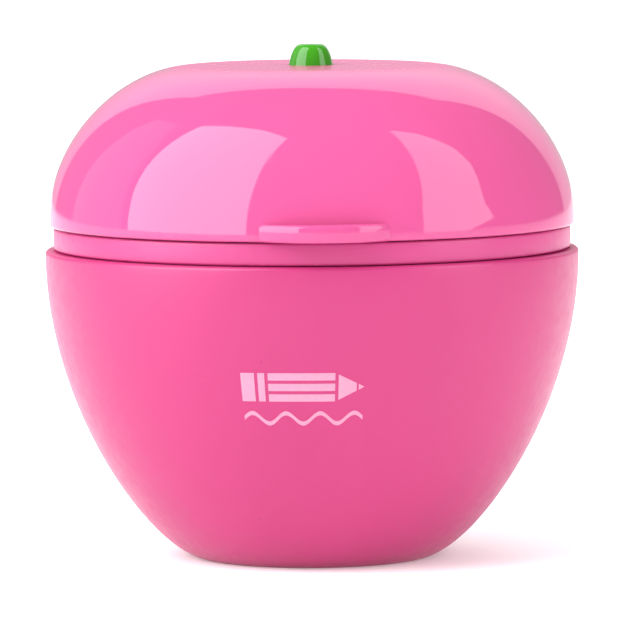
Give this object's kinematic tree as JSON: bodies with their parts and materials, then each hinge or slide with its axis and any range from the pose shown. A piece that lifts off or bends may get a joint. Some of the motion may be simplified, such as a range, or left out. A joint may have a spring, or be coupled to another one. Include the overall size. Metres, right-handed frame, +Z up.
{
  "type": "pencil sharpener",
  "caption": "Apple-shaped container pencil sharpener: hinged glossy lid with a stem over a lift-out carrier with a regular and a jumbo hole, above a satin shavings cup.",
  "frame": {"origin": "centre of the foot's ring, in the plane that the sharpener stands on, under the middle of the bounding box", "axes": "+Z up along the apple's axis; -Y towards the lid's thumb tab, the front; +Y towards the hinge; the standard hole is at -X and the jumbo hole at +X"},
  "size_m": [0.0566, 0.06, 0.0545],
  "materials": {
    "cup_plastic": "satin pink moulded plastic",
    "collar_plastic": "satin hot pink moulded plastic",
    "lid_plastic": "polished pink moulded plastic",
    "stem_plastic": "polished green moulded plastic",
    "block_plastic": "satin white moulded plastic",
    "blade_steel": "ground blade steel",
    "fastener_steel": "turned steel"
  },
  "bodies": {
    "cup": {"cup": "cup_plastic"},
    "carrier": {"carrier": "collar_plastic", "hinge_pin": "fastener_steel", "sharpener_block": "block_plastic", "standard_blade": "blade_steel", "jumbo_blade": "blade_steel", "standard_blade_screw": "fastener_steel", "jumbo_blade_screw": "fastener_steel", "flange_screw_left": "fastener_steel", "flange_screw_right": "fastener_steel"},
    "lid": {"lid": "lid_plastic", "stem": "stem_plastic"}
  },
  "joints": [
    {"name": "carrier_lift", "type": "slide", "parent": "cup", "child": "carrier", "axis": [0, 0, 1], "range_m": [0, 0.03]},
    {"name": "lid_hinge", "type": "hinge", "parent": "carrier", "child": "lid", "pos_m": [0, 0.0285, 0.03535], "axis": [-1, 0, 0], "range_deg": [0, 115]}
  ]
}
